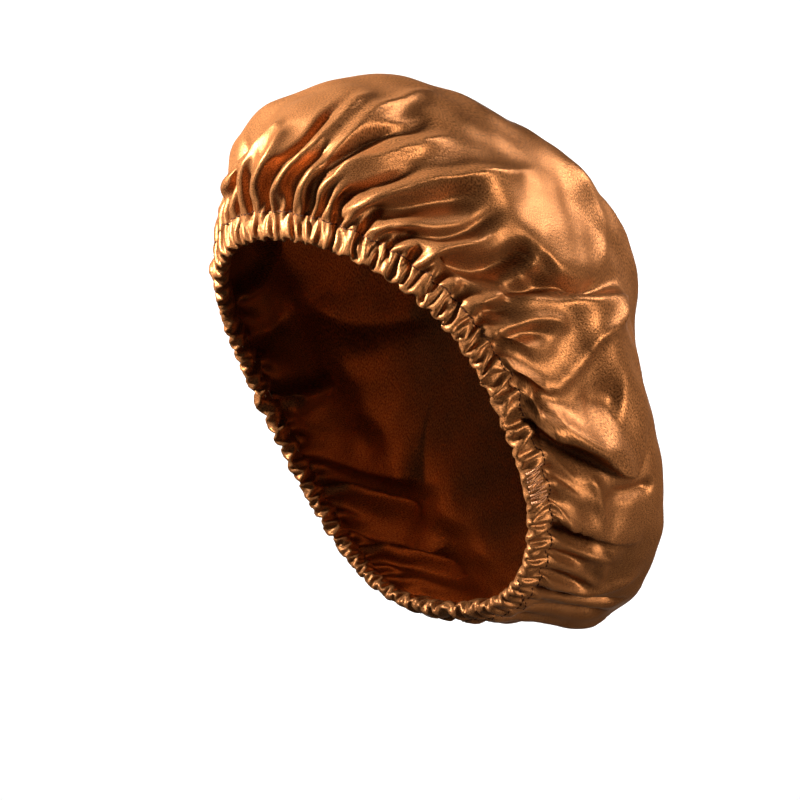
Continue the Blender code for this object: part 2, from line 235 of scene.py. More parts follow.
# The folds that no picture shows, on the far side and the back, by `around` and `up`.
UNSEEN_FOLDS = [
    # name, lift, left, right, (around, up) along it
    ("far_brow_lobe",      3, 9, 8, (-20,0.06), (-21,0.14), (-20,0.24)),
    ("far_brow_gap",      -3, 5, 5, (-28,0.08), (-27,0.20), (-24,0.36)),
    ("far_brow_ridge",     4, 6, 6, (-38,0.07), (-37,0.18), (-34,0.34), (-30,0.50)),
    ("far_temple_valley", -6, 6, 6, (-48,0.06), (-48,0.18), (-44,0.36), (-40,0.52)),
    ("far_long_ridge",     7, 5, 7, (-58,0.05), (-60,0.18), (-54,0.36), (-48,0.56)),
    ("far_long_valley",   -6, 6, 6, (-68,0.05), (-70,0.18), (-66,0.36), (-60,0.50)),
    ("far_ear_roll",       6, 6, 6, (-80,0.06), (-82,0.18), (-78,0.36)),
    ("far_ear_hollow",    -8, 8, 8, (-92,0.06), (-95,0.18), (-92,0.32)),
    ("far_shelf",          7, 5, 14, (-78,0.42), (-92,0.50), (-106,0.60), (-120,0.68)),
    ("far_lip",            7, 4, 10, (-104,0.06), (-110,0.18), (-116,0.32), (-124,0.42)),
    ("far_hollow",        -8, 9, 5, (-114,0.06), (-120,0.18), (-126,0.32)),
    ("far_low_lip",        6, 4, 9, (-126,0.06), (-132,0.18), (-136,0.32)),
    ("far_low_shadow",    -6, 7, 4, (-134,0.06), (-139,0.18), (-143,0.28)),
    ("far_nape_roll",      5, 6, 6, (-150,0.06), (-154,0.18), (-158,0.34)),
    ("far_nape_valley",   -6, 6, 6, (-160,0.06), (-164,0.18), (-167,0.30)),
    ("back_roll",          5, 9, 9, (172,0.06), (173,0.20), (170,0.40)),
    ("back_valley",       -5, 8, 8, (184,0.06), (186,0.20), (188,0.40)),
    ("back_roll_far",      5, 8, 8, (196,0.06), (198,0.20), (200,0.38)),
    ("back_crease",       -3, 8, 8, (150,0.55), (170,0.50), (190,0.52), (205,0.58)),
    ("back_puff",          4, 14, 14, (150,0.40), (168,0.44), (188,0.46), (210,0.48)),
    ("nape_side_valley",  -5, 6, 6, (160,0.06), (162,0.18), (160,0.30)),
]

# Share of the charted height that ridges and valleys get, and of their width over which a crest is round.
RIDGE_SCALE = 1.35
VALLEY_SCALE = 1.6
SEEN_CREST = 0.12
UNSEEN_CREST = 0.35
VALLEY_STEEPNESS = 1.5
POINTS_PER_STEP = 12

# The folds widen as they fan out from the casing: share of the charted width, by `up`.
WIDENING = np.array([(0.05, 0.7), (0.12, 0.85), (0.3, 1.1), (0.6, 1.3)])

# A fold that is this many times steeper on one side hangs over on that side, by this share of its height.
LIP = 3.0
OVERHANG = 0.5

# How far out a fold is reckoned, in its own widths, how steep its ends are, and how high it starts
# where it starts at the casing.
FOLD_REACH = 4.5
FOLD_ENDS = 3.5
FOLD_START = 0.25

# Soft unevenness all over: each wave's length and height, and how many of that length cross each other.
UNEVEN = [(0.060, 0.0009), (0.034, 0.0005), (0.021, 0.0003)]
CROSSING_WAVES = 4
TURN = 6.28  # once round, in radians, so that a wave can start anywhere

# Where the worn cloth has settled inside the smooth bag, or with a minus sign stands out of it.
SETTLED_ALL_OVER = 0.0022
SETTLED_RISE = 0.05  # `up` above the stitch line over which it begins
SETTLED = [
    # around, up, depth, reach around, reach in up
    (-30, 0.15, 0.0100, 20, 0.10),
    (-37, 0.21, 0.0030, 12, 0.10),
    (-14, 0.30, 0.0085, 14, 0.11),
    (-15, 0.25, 0.0050, 12, 0.08),
    (-17, 0.44, -0.0045, 12, 0.09),
    (-8, 0.60, 0.0025, 9, 0.09),
    (10, 0.69, -0.0022, 10, 0.08),
    (172, 0.22, 0.0085, 20, 0.11),
    (40, 0.80, 0.0028, 40, 0.10),
    (125, 0.79, -0.0040, 18, 0.08),
    (138, 0.45, -0.0022, 22, 0.12),
]


def curve_through(p, q, r, s, w):
    """Places at share `w` of the way from `q` to `r`, on a smooth curve through all four."""
    return 0.5 * (2 * q + (r - p) * w + (2 * p - 5 * q + 4 * r - s) * w**2 + (3 * q - p - 3 * r + s) * w**3)


def smooth_line(points, count):
    """A curve through the points, as `count` places along it."""
    points = np.array(points, float)
    ends = np.vstack([2 * points[0] - points[1], points, 2 * points[-1] - points[-2]])
    t = np.linspace(0, len(points) - 1 - 1e-6, count)
    i = t.astype(int)
    w = (t - i)[:, None]
    return curve_through(ends[i], ends[i + 1], ends[i + 2], ends[i + 3], w)


def from_picture(points):
    """`around` and `up` of the places on the near side of the base surface that fall on these pixels."""
    # This part of the bag holds all that the camera sees.
    around, up = np.meshgrid(np.arange(-40, 200, 0.4), np.linspace(0, 0.99, 420), indexing="ij")
    seen = outward(around, up) @ direction(CAMERA_AZIMUTH, CAMERA_ELEVATION) > 0.02
    around, up = around[seen], up[seen]
    x, y = to_picture(base_surface(around, up))
    nearest = [np.argmin((x - px) ** 2 + (y - py) ** 2) for px, py in points]
    return np.stack([around[nearest], up[nearest]], axis=-1)


def charted_folds():
    """Every fold as (lift, left, right, crest, line), in metres, with the line in `around` and `up`."""
    rows = []
    places = iter(from_picture([point for row in SEEN_FOLDS for point in row[4:]]))
    for folds, crest in ((SEEN_FOLDS, SEEN_CREST), (UNSEEN_FOLDS, UNSEEN_CREST)):
        for _, lift, left, right, *points in folds:
            if folds is SEEN_FOLDS:
                points = [next(places) for _ in points]
            line = smooth_line(points, POINTS_PER_STEP * len(points))
            lift *= RIDGE_SCALE if lift > 0 else VALLEY_SCALE
            rows.append((lift / 1000, left / 1000, right / 1000, crest, line))
    return rows


def settled(around, up):
    """Depth by which the cloth lies inside the smooth bag."""
    depth = SETTLED_ALL_OVER
    for at_around, at_up, most, reach_around, reach_up in SETTLED:
        away = (around - at_around + 180) % 360 - 180
        depth = depth + most * np.exp(-((away / reach_around) ** 2) - ((up - at_up) / reach_up) ** 2)
    return depth * np.clip((up - STITCH_LINE) / SETTLED_RISE, 0, 1)


def unevenness(base):
    """Height of the soft dents and swells of used cloth, from waves in chance directions."""
    chance = np.random.default_rng(8)
    height = np.zeros(base.shape[:2])
    for length, rise in UNEVEN:
        for _ in range(CROSSING_WAVES):
            across = unit(chance.normal(size=3)) * 2 * math.pi / length
            height += rise * np.sin(base @ across + chance.uniform(0, TURN)) / 2
    return height


def fold_relief(folds, base):
    """Height that the charted folds add at each point of the grid, and how far their lips hang over."""
    flat = base.reshape(-1, 3).astype(np.float32)
    relief = np.zeros(len(flat), np.float32)
    over = np.zeros(flat.shape, np.float32)
    for lift, left, right, crest, line in folds:
        path = base_surface(line[:, 0], line[:, 1])
        leftward = np.cross(outward(line[:, 0], line[:, 1]), unit(np.gradient(path, axis=0)))
        path, leftward = path.astype(np.float32), leftward.astype(np.float32)
        wide = np.interp(line[:, 1], *WIDENING.T)
        reach = FOLD_REACH * max(left, right) * wide.max()
        near = np.flatnonzero(((flat > path.min(0) - reach) & (flat < path.max(0) + reach)).all(1))
        if not len(near):
            continue
        offset = flat[near][:, None] - path[None]
        squared = np.einsum("ijk,ijk->ij", offset, offset)
        k = squared.argmin(1)
        row = np.arange(len(near))
        side = np.einsum("ik,ik->i", offset[row, k], leftward[k])
        x = np.sqrt(squared[row, k]) / (np.where(side > 0, left, right) * wide[k])
        # A ridge has a sharp crest and long skirts, and a valley has a round bottom.
        if lift > 0:
            shape = np.exp(crest - np.sqrt(x * x + crest**2))
        else:
            shape = np.exp(-VALLEY_STEEPNESS * x * x)
        share = k / (len(path) - 1)
        # A fold that starts at the casing starts high, and every other end runs out to nothing.
        start = FOLD_START if line[0, 1] < 2 * STITCH_LINE else 0
        fade = np.clip(np.minimum(start + FOLD_ENDS * share, FOLD_ENDS * (1 - share)), 0, 1)
        height = lift * fade * fade * (3 - 2 * fade) * shape
        relief[near] += height
        if lift > 0 and max(left, right) > LIP * min(left, right):
            steep = 1 if left < right else -1
            over[near] += (OVERHANG * steep * height * shape)[:, None] * leftward[k]
    return relief.reshape(base.shape[:2]), over.reshape(base.shape)


# ---- the cloth as a grid

# The section of the casing from the hem edge inside, round the fold, to the stitch line outside.
CASING_SECTION = [
    # up,      out
    (0.0500, -0.0014),
    (0.0380, -0.0036),
    (0.0120, -0.0038),
    (-0.0030, -0.0020),
    (-0.0030, 0.0012),
    (0.0120, 0.0026),
    (0.0380, 0.0024),
    (0.0500, 0.0012),
]
UP_LENGTH = 0.27  # metres of cloth in one `up`, at the casing
TOP_ROW = 0.985  # `up` of the last row, inside which one point closes the bag
ROW_CROWDING = 1.25  # above 1, rows lie closer near the casing

# The folds rise to their height over this much `up` above the stitch line, where the cloth puffs out.
RISE = 0.06
PUFF = 0.0008
CLEAR_OF_CASING = 0.0005

# Length of the cloth round the bag over the length of the path that it takes, by `up`.
FULLNESS = np.array([
    (0.05, 1.6), (0.07, 1.75), (0.10, 1.55), (0.13, 1.3), (0.17, 1.12), (0.24, 1.02), (0.34, 1.0), (1.0, 1.0),
])
# The same in the casing, by share of the way from the hem edge to the stitch line.
CASING_FULLNESS = np.array([(0, 1.2), (0.45, 1.28), (0.7, 1.4), (1, 1.4)])
# The same up the bag, by `up`.
ROW_FULLNESS = np.array([(0.05, 1.0), (0.07, 1.02), (0.2, 1.0), (1.0, 1.0)])

# Where the cloth is gathered less, at the closing behind the ear: around, share less, reach around.
LESS_GATHERED = [(108, 0.65, 9), (135, 0.25, 20)]

# How far the gathers may stand out of the charted surface and sink into it, by `up`.
ROOM = np.array([
    # up,   out,    in
    (0.05, 0.0018, 0.0026),
    (0.06, 0.0032, 0.0045),
    (0.09, 0.0046, 0.0058),
    (0.12, 0.0036, 0.0044),
    (0.16, 0.0018, 0.0020),
    (0.22, 0.0009, 0.0010),
    (1.00, 0.0006, 0.0006),
])
CASING_ROOM = 0.0016  # both ways, in the casing

# How near neighbours may come, as a share of their distance on the base surface, round the bag and up it.
LEAST_ROUND = 0.05
LEAST_ROW = 0.2

# Columns and their neighbours, in three sets, so that no column is moved twice at once.
NEIGHBOURS = [
    (slice(0, None, 2), slice(1, None, 2)),
    (slice(1, -1, 2), slice(2, None, 2)),
    (slice(-1, None), slice(0, 1)),
]

# How the cloth is relaxed: share of the last move that is kept, rounds between two pulls back to
# the charted shape, each pull's share and the width that it is averaged over.
MOMENTUM = 0.5
PULL_EVERY = 4
PULL_SHARE = 0.25
PULL_REACH = 0.008
DIAGONAL_HOLD = 0.35

# How much wide bends are opened round the bag, by `up`. Up the bag: points apart, and how much.
WIDE_BENDS = np.array([(0.05, 0.0), (0.09, 0.15), (0.2, 1.0), (1.0, 1.0)])
ROW_BENDS = [(2, 0.4), (4, 0.4), (8, 0.3)]

# The gathers are ironed this many times along their length, by these shares, and die out here.
IRONING = 36
IRONING_SHARE = np.array([(0.05, 0.0), (0.08, 0.3), (0.2, 0.5), (1.0, 0.5)])
GATHERS_END = 0.10, 0.26

# Columns round the bag, rows in the casing, rows in the crown, rounds of relaxing and stiffness.
COARSE_GRID = 288, 10, 50, 140, 0.05
FINE_GRID = 720, 20, 136, 180, 0.15

# The seeds of the gathers: count round the bag, height, `up` above the stitch line, reach in `up`.
SEEDS = [(80, 0.0022, 0.0, 0.035), (49, 0.0032, 0.05, 0.06), (31, 0.0034, 0.12, 0.09)]
# How uneven their spacing and heights are.
SEED_SWAY = 1.3
SEED_UNEVENNESS = 0.38
# Share of their height, by share of the way from the hem edge to the stitch line.
SEED_SHARE = np.array([(0, -0.5), (0.4, 0.2), (0.6, 1.0)])

# How the folds lean as they rise: degrees that they have drifted round the bag by each level of `up`.
LEAN_LEVELS = np.array([STITCH_LINE, 0.15, 0.3, 0.6])
LEAN = np.array([
    # around, drift at each level above the stitch line
    (-60, -4, -8, -12),
    (-30, 2, 0, 0),
    (-4, 9, 11, 8),
    (18, 11, 18, 22),
    (30, 12, 23, 30),
    (50, 10, 18, 26),
    (70, 11, 18, 24),
    (90, 15, 25, 28),
    (125, 11, 18, 22),
    (150, 7, 11, 12),
    (180, 3, 4, 6),
    (210, -3, -6, -6),
    (240, -7, -12, -14),
    (270, -9, -16, -20),
])


def drift(around, up):
    """Degrees by which a fold that passes this place has moved round the bag since the casing."""
    turns = np.concatenate([LEAN[:, 0] - 360, LEAN[:, 0], LEAN[:, 0] + 360])
    at_levels = np.array([np.interp(around, turns, np.tile(LEAN[:, column], 3)) for column in (1, 2, 3)])
    befores = [0 * at_levels[0], *at_levels[:2]]
    total = 0
    for low, high, before, after in zip(LEAN_LEVELS[:-1], LEAN_LEVELS[1:], befores, at_levels):
        total = total + (after - before) * np.clip((up - low) / (high - low), 0, 1)
    return total


def lengths(points, round_step, row_step):
    """Lengths from each point of the grid to the one so many columns and rows on."""
    low, high = max(0, -row_step), points.shape[1] - max(0, row_step)
    other = np.roll(points, -round_step, 0)[:, low + row_step : high + row_step]
    return np.linalg.norm(other - points[:, low:high], axis=-1)


def diagonals(round_length, row_length):
    """Lengths of the diagonals of the grid's cells, from those of their sides, taken as upright."""
    across = (round_length[:, 1:] + round_length[:, :-1]) / 2
    return np.hypot(across, (row_length + np.roll(row_length, -1, 0)) / 2)


def soft_average(values, columns, rows):
    """The average of a grid of vectors over so many columns and rows to each side, taken twice."""
    for _ in range(2):
        for axis, reach in ((0, columns), (1, rows)):
            if axis == 0:
                padded = np.concatenate([values[-reach:], values, values[:reach]], 0)
            else:
                padded = np.pad(values, ((0, 0), (reach, reach), (0, 0)), mode="edge")
            total = np.cumsum(padded, axis, dtype=np.float64)
            total = np.concatenate([np.zeros_like(np.take(total, [0], axis)), total], axis)
            n = values.shape[axis]
            high = np.take(total, np.arange(2 * reach + 1, 2 * reach + 1 + n), axis)
            values = (high - np.take(total, np.arange(n), axis)) / (2 * reach + 1)
    return values


def grid_normals(points):
    """Unit normals of a grid that closes round the bag."""
    return unit(np.cross(np.roll(points, -1, 0) - np.roll(points, 1, 0), np.gradient(points, axis=1)))


def softened(values):
    """Each value averaged with its neighbours, to take the steps of the grid out of slanting folds."""
    values = (np.roll(values, 1, 0) + 5 * values + np.roll(values, -1, 0)) / 7
    padded = np.pad(values, ((0, 0), (1, 1), (0, 0)), mode="edge")
    return (padded[:, :-2] + 3 * values + padded[:, 2:]) / 5


def pull_to_length(first, second, rest, when_long, when_short):
    """Moves each pair of points towards its rest length, by these shares of the error."""
    d = second - first
    length = np.sqrt(dots(d, d)) + 1e-9
    error = (length - rest) / length
    error *= np.where(error > 0, 0.5 * when_long, 0.5 * when_short)
    d *= error[..., None]
    first += d
    second -= d


def keep_order(first, second, along, least):
    """Keeps the second point ahead of the first along the base surface, so that no fold crosses another."""
    d = dots(second - first, along)
    c = np.maximum(least - d, 0)[..., None] * 0.5 * along
    first -= c
    second += c


class Cloth:
    """A grid of the whole cloth: columns round the bag, rows from the hem edge to the top."""

    def __init__(self, columns, casing_rows, crown_rows, folds):
        section = smooth_line(CASING_SECTION, 200)
        run = np.append(0, np.cumsum(np.hypot(np.diff(section[:, 0]) * UP_LENGTH, np.diff(section[:, 1]))))
        even = np.linspace(0, run[-1], casing_rows + 1)
        climb = np.arange(1, crown_rows + 1) / crown_rows
        crown_ups = STITCH_LINE + (TOP_ROW - STITCH_LINE) * climb**ROW_CROWDING
        ups = np.append(np.interp(even, run, section[:, 0]), crown_ups)
        outs = np.append(np.interp(even, run, section[:, 1]), 0 * climb + section[-1, 1])
        self.columns, self.rows, self.stitch_row = columns, len(ups), casing_rows
        self.ray, self.up = np.meshgrid(np.arange(columns) / columns * 360.0, ups, indexing="ij")
        self.around = self.ray + drift(self.ray, self.up)
        self.row = np.broadcast_to(np.arange(len(ups)), self.up.shape)
        in_crown = self.row > casing_rows
        self.base = base_surface(self.around, self.up) + outward(self.around, self.up) * outs[:, None]
        self.normal = grid_normals(self.base)
        risen = np.clip((self.up - STITCH_LINE) / RISE, 0, 1)
        above = risen * in_crown
        relief, over = fold_relief(folds, self.base)
        self.relief = above * (CLEAR_OF_CASING + relief + unevenness(self.base)) - settled(self.around, self.up)
        self.relief += in_crown * PUFF * np.sin(np.pi * risen)
        self.charted = self.base + self.normal * self.relief[..., None] + above[..., None] * over
        crown = slice(casing_rows + 1, None)
        self.charted[:, crown] = softened(self.charted - self.base)[:, crown] + self.base[:, crown]
        self.measure(casing_rows, in_crown)

    def measure(self, casing_rows, in_crown):
        """Rest lengths of the cloth, the order of its points and the room for its gathers."""
        base_round, round_length = lengths(self.base, 1, 0), lengths(self.charted, 1, 0)
        row_length = lengths(self.charted, 0, 1)
        casing = np.interp(self.row, casing_rows * CASING_FULLNESS[:, 0], CASING_FULLNESS[:, 1])
        fullness = np.where(in_crown, np.interp(self.up, *FULLNESS.T), casing)
        fullness = 1 + (fullness - 1) * self.share_gathered()
        self.rest_round = np.maximum(base_round * fullness, round_length)
        self.rest_row = row_length * np.interp(self.up[:, 1:], *ROW_FULLNESS.T)
        growth = diagonals(self.rest_round, self.rest_row) / diagonals(round_length, row_length)
        self.rest_rising = lengths(self.charted, 1, 1) * growth
        self.rest_falling = lengths(self.charted, 1, -1) * growth
        self.rest_round_2 = self.rest_round + np.roll(self.rest_round, -1, 0)
        self.rest_round_4 = self.rest_round_2 + np.roll(self.rest_round_2, -2, 0)
        self.rest_rows = [
            sum(self.rest_row[:, k : self.rows - span + k] for k in range(span)).astype(np.float32)
            for span, _ in ROW_BENDS
        ]
        self.along_round = unit(np.roll(self.base, -1, 0) - self.base)
        self.along_row = unit(self.base[:, 1:] - self.base[:, :-1])
        # Where a charted lip hangs over, its points may stay out of order by as much as charted.
        round_order = dots(np.roll(self.charted, -1, 0) - self.charted, self.along_round)
        row_order = dots(self.charted[:, 1:] - self.charted[:, :-1], self.along_row)
        self.least_round = np.minimum(base_round * LEAST_ROUND, round_order)
        self.least_row = np.minimum(lengths(self.base, 0, 1) * LEAST_ROW, row_order)
        room_out, room_in = (np.interp(self.up, ROOM[:, 0], ROOM[:, column]) for column in (1, 2))
        self.highest = self.relief + np.where(in_crown, room_out, CASING_ROOM)
        self.lowest = self.relief - np.where(in_crown, room_in, CASING_ROOM)
        self.wide_bends = np.interp(self.up, *WIDE_BENDS.T)
        for name, value in vars(self).items():
            if isinstance(value, np.ndarray) and value.dtype == np.float64:
                setattr(self, name, value.astype(np.float32))

    def share_gathered(self):
        """Share of the gathers that the cloth has at each place round the bag."""
        share = 1
        for at, less, reach in LESS_GATHERED:
            share = share - less * np.exp(-(((self.ray - at) / reach) ** 2))
        return share

    def seeded(self):
        """The charted cloth with the seeds of the gathers on it."""
        chance = np.random.default_rng(3)
        angle = np.radians(self.ray)
        above = np.clip(self.up - STITCH_LINE, 0, 1)
        wave = np.zeros(self.up.shape)
        for count, height, at, reach in SEEDS:
            sway = sum(
                chance.normal(0, SEED_SWAY / k) * np.sin(k * angle + chance.uniform(0, TURN))
                for k in (2, 3, 5, 7, 11)
            )
            uneven = 1 + SEED_UNEVENNESS * sum(
                chance.normal() * np.sin(k * angle + chance.uniform(0, TURN)) for k in (5, 9, 14)
            )
            wave += height * uneven * np.exp(-(((above - at) / reach) ** 2)) * np.cos(count * angle + sway)
        outer = np.interp(self.row, self.stitch_row * SEED_SHARE[:, 0], SEED_SHARE[:, 1])
        return (self.charted + self.normal * (wave * outer * self.share_gathered())[..., None]).astype(np.float32)

    def relax(self, points, rounds, stiffness):
        """Lets the points find their lengths, close to the charted shape, until gathers have formed."""
        # A third of the way up, the cloth is about a tenth wider than its path.
        third = self.rows // 3
        widths = self.rest_round[:, third].mean() / 1.1, self.rest_row[:, third].mean()
        reach = [max(1, round(PULL_REACH / float(width))) for width in widths]
        before = points.copy()
        for count in range(rounds):
            moved = points + MOMENTUM * (points - before)
            before, points = points, moved
            for one, other in NEIGHBOURS:
                first, second = points[one], points[other]
                pull_to_length(first, second, self.rest_round[one], 1, 1)
                keep_order(first, second, self.along_round[one], self.least_round[one])
            for start in (0, 1):
                first, second = points[:, start:-1:2], points[:, start + 1 :: 2]
                pull_to_length(first, second, self.rest_row[:, start::2], 1, 1)
                keep_order(first, second, self.along_row[:, start::2], self.least_row[:, start::2])
            self.shear(points)
            points = self.bend(points, stiffness)
            if count % PULL_EVERY == 0:
                points += (PULL_SHARE * soft_average(self.charted - points, *reach)).astype(np.float32)
                height = dots(points - self.base, self.normal)
                points += (np.clip(height, self.lowest, self.highest) - height)[..., None] * self.normal
            points[:, -2:] = self.charted[:, -2:]
        return points

    def shear(self, points):
        """Holds the diagonals of the grid, softly, as a weave does."""
        lower, upper = slice(None, -1), slice(1, None)
        for rest, here, there in ((self.rest_rising, lower, upper), (self.rest_falling, upper, lower)):
            for one, other in NEIGHBOURS:
                pull_to_length(points[one, here], points[other, there], rest[one], DIAGONAL_HOLD, DIAGONAL_HOLD)

    def bend(self, points, stiffness):
        """Opens tight bends: points two apart, and above the gathers four apart, are pushed to their length."""
        for span, rest, hold in (
            (2, self.rest_round_2, stiffness), (4, self.rest_round_4, stiffness * 2 * self.wide_bends),
        ):
            hold = np.broadcast_to(hold, rest.shape)
            for start in (0, span):
                turned = [np.roll(values, -start, 0) for values in (points, rest, hold)]
                place, length, share = (values.reshape(-1, 2 * span, *values.shape[1:]) for values in turned)
                pull_to_length(place[:, :span], place[:, span:], length[:, :span], 0, share[:, :span])
                points = np.roll(turned[0], start, 0)
        low = self.stitch_row * 3 // 5
        for (span, hold), rest in zip(ROW_BENDS, self.rest_rows):
            for start in range(low, low + 2 * span):
                first, second = points[:, start : -span : 2 * span], points[:, start + span :: 2 * span]
                pull_to_length(first, second, rest[:, start :: 2 * span], 0, hold)
        return points

    def ironed(self, points):
        """Smooths out what crosses the gathers, and lets the gathers die out up the bag."""
        moved = points - self.charted
        first = self.stitch_row
        share = np.interp(self.up[:, first + 1 : -1], *IRONING_SHARE.T)[..., None]
        # The coarse grid has fewer rows to smooth over.
        for _ in range(IRONING if self.rows > 100 else IRONING // 4):
            middle = (moved[:, first:-2] + moved[:, first + 2 :]) / 2
            moved[:, first + 1 : -1] += share * (middle - moved[:, first + 1 : -1])
        left = np.clip((GATHERS_END[1] - self.up) / (GATHERS_END[1] - GATHERS_END[0]), 0, 1)
        return (self.charted + moved * (left * left * (3 - 2 * left))[..., None]).astype(np.float32)

    def refined_from(self, coarse, points):
        """The coarse grid's gathers, laid on this grid's charted shape."""
        moved = points - coarse.charted
        place = np.arange(self.rows, dtype=float)
        casing_ratio = coarse.stitch_row / self.stitch_row
        crown_ratio = (coarse.rows - 1 - coarse.stitch_row) / (self.rows - 1 - self.stitch_row)
        in_crown = coarse.stitch_row + (place - self.stitch_row) * crown_ratio
        place = np.where(place <= self.stitch_row, place * casing_ratio, in_crown)
        k = np.clip(place.astype(int), 0, coarse.rows - 2)
        w = (place - k)[None, :, None]
        moved = moved[:, k] * (1 - w) + moved[:, k + 1] * w
        place = np.arange(self.columns) * coarse.columns / self.columns
        i = place.astype(int)
        w = (place - i)[:, None, None]
        n = coarse.columns
        moved = curve_through(*(moved[(i + shift) % n] for shift in (-1, 0, 1, 2)), w)
        return (self.charted + moved).astype(np.float32)


def gathered_cloth():
    """The relaxed cloth, on a coarse grid first and then on the finished one."""
    folds = charted_folds()
    *grid, rounds, stiffness = COARSE_GRID
    coarse = Cloth(*grid, folds)
    points = coarse.relax(coarse.seeded(), rounds, stiffness)
    *grid, rounds, stiffness = FINE_GRID
    fine = Cloth(*grid, folds)
    points = fine.relax(fine.refined_from(coarse, points), rounds, stiffness)
    return fine, fine.ironed(points)


# ---- meshes

CUT_RADIUS = 0.320


def cloth_mesh(name, cloth, points, first_row, last_row, closed_top):
    """An object of some rows of the grid, with a UV map that lays the cloth flat, in metres."""
    rows = last_row - first_row + 1
    columns = cloth.columns
    vertices = points[:, first_row : last_row + 1].reshape(-1, 3).astype(float)
    i, j = np.meshgrid(np.arange(columns), np.arange(rows - 1), indexing="ij")
    right = (i + 1) % columns
    low_left, low_right = i * rows + j, right * rows + j
    faces = np.stack([low_left, low_right, low_right + 1, low_left + 1], -1).reshape(-1, 4).tolist()
    if closed_top:
        top = len(vertices)
        vertices = np.vstack([vertices, vertices.reshape(columns, rows, 3)[:, -1].mean(0)])
        faces += [[k * rows + rows - 1, (k + 1) % columns * rows + rows - 1, top] for k in range(columns)]
    mesh = bpy.data.meshes.new(name)
    mesh.from_pydata(vertices.tolist(), [], faces)
    mesh.shade_smooth()
    # The cut is a round, so the weave runs straight across it and not round the bag.
    run = np.append(0, np.cumsum(lengths(cloth.charted, 0, 1).mean(0)))
    radius = CUT_RADIUS * (1 - run / run[-1])[first_row : last_row + 1]
    angle = np.radians(cloth.ray[:, first_row : last_row + 1])
    flat = np.stack([radius * np.cos(angle), radius * np.sin(angle)], -1).reshape(-1, 2)
    flat = np.vstack([flat, [[0, 0]]]).astype(np.float32)
    corner = np.empty(len(mesh.loops), np.int32)
    mesh.loops.foreach_get("vertex_index", corner)
    layer = mesh.uv_layers.new(name="flat_cloth")
    layer.data.foreach_set("uv", flat[corner].ravel())
    return put_in_scene(name, mesh)


# ---- finishes

def linear(colour):
    """An sRGB hex colour as linear RGBA."""
    channels = [int(colour[i : i + 2], 16) / 255 for i in (1, 3, 5)]
    return (*[c / 12.92 if c <= 0.04045 else ((c + 0.055) / 1.055) ** 2.4 for c in channels], 1.0)


def connect(node, **links):
    """Sets a node's inputs, named or as `_` and a number, each to a value or a (node, output) pair."""
    for name, value in links.items():
        socket = node.inputs[int(name[1:]) if name[0] == "_" else name.replace("_", " ")]
        if isinstance(value, tuple) and isinstance(value[0], bpy.types.Node):
            node.id_data.links.new(value[0].outputs[value[1]], socket)
        else:
            socket.default_value = value


def add_node(tree, kind, settings=None, **links):
    """Adds a node with its own settings, and connects it."""
    made = tree.nodes.new(kind)
    for name, value in (settings or {}).items():
        setattr(made, name, value)
    connect(made, **links)
    return made


# ---- stitches

def stitch_tree():
    """Geometry Nodes that lay stitches end to end along a path of edges, flat on the cloth under it."""
    tree = bpy.data.node_groups.new("stitches_along_a_path", "GeometryNodeTree")
    tree.interface.new_socket("Path", in_out="INPUT", socket_type="NodeSocketGeometry")
    for name in ("Spacing", "Length", "Thickness"):
        tree.interface.new_socket(name, in_out="INPUT", socket_type="NodeSocketFloat")
    tree.interface.new_socket("Thread", in_out="INPUT", socket_type="NodeSocketMaterial")
    tree.interface.new_socket("Stitches", in_out="OUTPUT", socket_type="NodeSocketGeometry")
    given = add_node(tree, "NodeGroupInput")
    curve = add_node(tree, "GeometryNodeMeshToCurve", Mesh=(given, "Path"))
    even = add_node(
        tree, "GeometryNodeResampleCurve", {"mode": "LENGTH"}, Curve=(curve, 0), Length=(given, "Spacing")
    )
    along = add_node(tree, "GeometryNodeInputTangent")
    out = add_node(tree, "GeometryNodeInputNamedAttribute", {"data_type": "FLOAT_VECTOR"}, Name="out")
    turn = "FunctionNodeAlignRotationToVector"
    turned = add_node(tree, turn, {"axis": "X"}, Vector=(along, 0))
    laid = add_node(tree, turn, {"axis": "Z", "pivot_axis": "X"}, Rotation=(turned, 0), Vector=(out, 0))
    ball = add_node(tree, "GeometryNodeMeshUVSphere", Segments=6, Rings=4, Radius=0.5)
    size = add_node(
        tree, "ShaderNodeCombineXYZ", X=(given, "Length"), Y=(given, "Thickness"), Z=(given, "Thickness"),
    )
    placed = add_node(
        tree, "GeometryNodeInstanceOnPoints",
        Points=(even, 0), Instance=(ball, 0), Rotation=(laid, 0), Scale=(size, 0),
    )
    real = add_node(tree, "GeometryNodeRealizeInstances", Geometry=(placed, 0))
    smooth = add_node(tree, "GeometryNodeSetShadeSmooth", Geometry=(real, 0))
    coloured = add_node(tree, "GeometryNodeSetMaterial", Geometry=(smooth, 0), Material=(given, "Thread"))
    add_node(tree, "NodeGroupOutput", Stitches=(coloured, 0))
    return tree


def sewn(name, tree, places, out, closed, thread, **sizes):
    """A row of stitches through these places, as a plain mesh."""
    count = len(places)
    edges = [(k, (k + 1) % count) for k in range(count if closed else count - 1)]
    mesh = bpy.data.meshes.new(name)
    mesh.from_pydata((places + out * sizes["Thickness"] * 0.3).tolist(), edges, [])
    mesh.attributes.new("out", "FLOAT_VECTOR", "POINT").data.foreach_set("vector", out.astype(np.float32).ravel())
    piece = put_in_scene(name, mesh)
    modifier = piece.modifiers.new("stitches", "NODES")
    modifier.node_group = tree
    for socket in tree.interface.items_tree:
        if socket.in_out == "INPUT" and socket.name != "Path":
            modifier[socket.identifier] = thread if socket.name == "Thread" else sizes[socket.name]
    shown = piece.evaluated_get(bpy.context.evaluated_depsgraph_get())
    plain = bpy.data.meshes.new_from_object(shown)
    piece.modifiers.clear()
    piece.data = plain
    return piece


